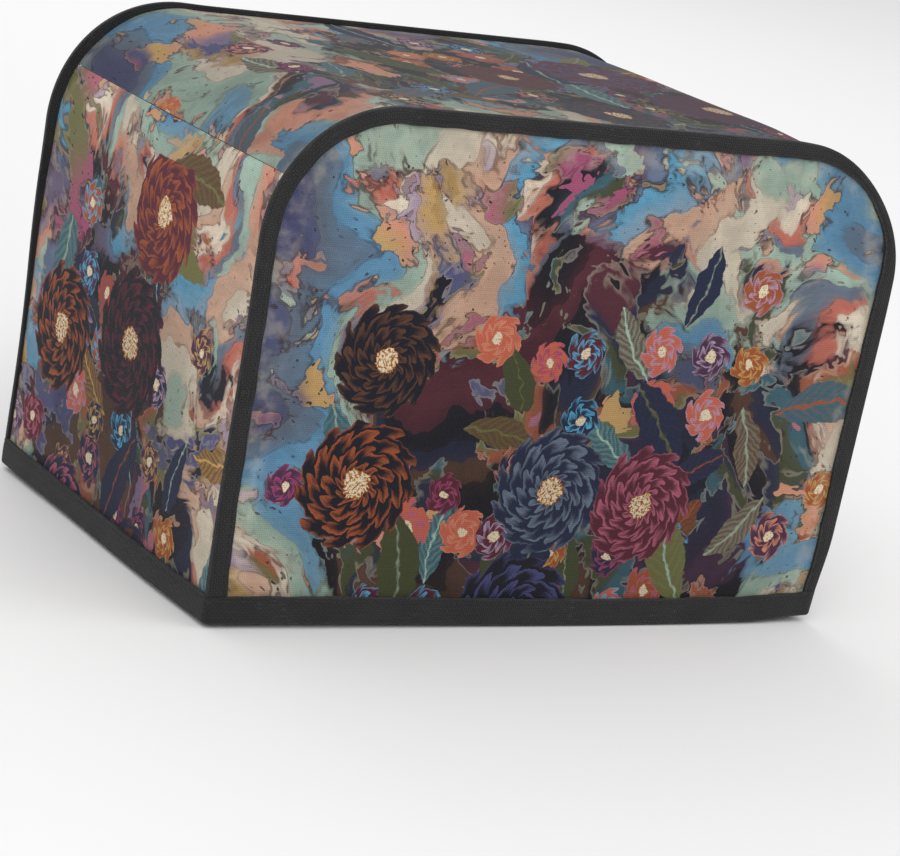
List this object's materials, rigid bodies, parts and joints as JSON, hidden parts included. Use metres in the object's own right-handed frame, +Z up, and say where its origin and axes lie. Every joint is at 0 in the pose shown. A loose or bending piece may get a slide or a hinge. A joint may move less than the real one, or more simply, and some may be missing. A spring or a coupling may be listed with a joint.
{
  "type": "toaster cover",
  "caption": "Fitted cloth cover with rounded top corners, open below, with dark tape bound over its seams and hem.",
  "frame": {"origin": "middle of the flat underside of the top panel, which lies on what the cover is drawn over", "axes": "+X to the right along the width, +Y to the back, +Z up, out of the top; the open hem faces -Z"},
  "size_m": [0.3067, 0.205, 0.2106],
  "materials": {
    "printed_cloth": "matte plain weave with a painterly print",
    "binding_tape": "matte ribbed charcoal tape"
  },
  "bodies": {
    "root": {"front_panel": "printed_cloth", "back_panel": "printed_cloth", "top_panel": "printed_cloth", "left_side_panel": "printed_cloth", "right_side_panel": "printed_cloth", "front_binding": "binding_tape", "back_binding": "binding_tape", "hem_binding": "binding_tape"}
  },
  "joints": []
}
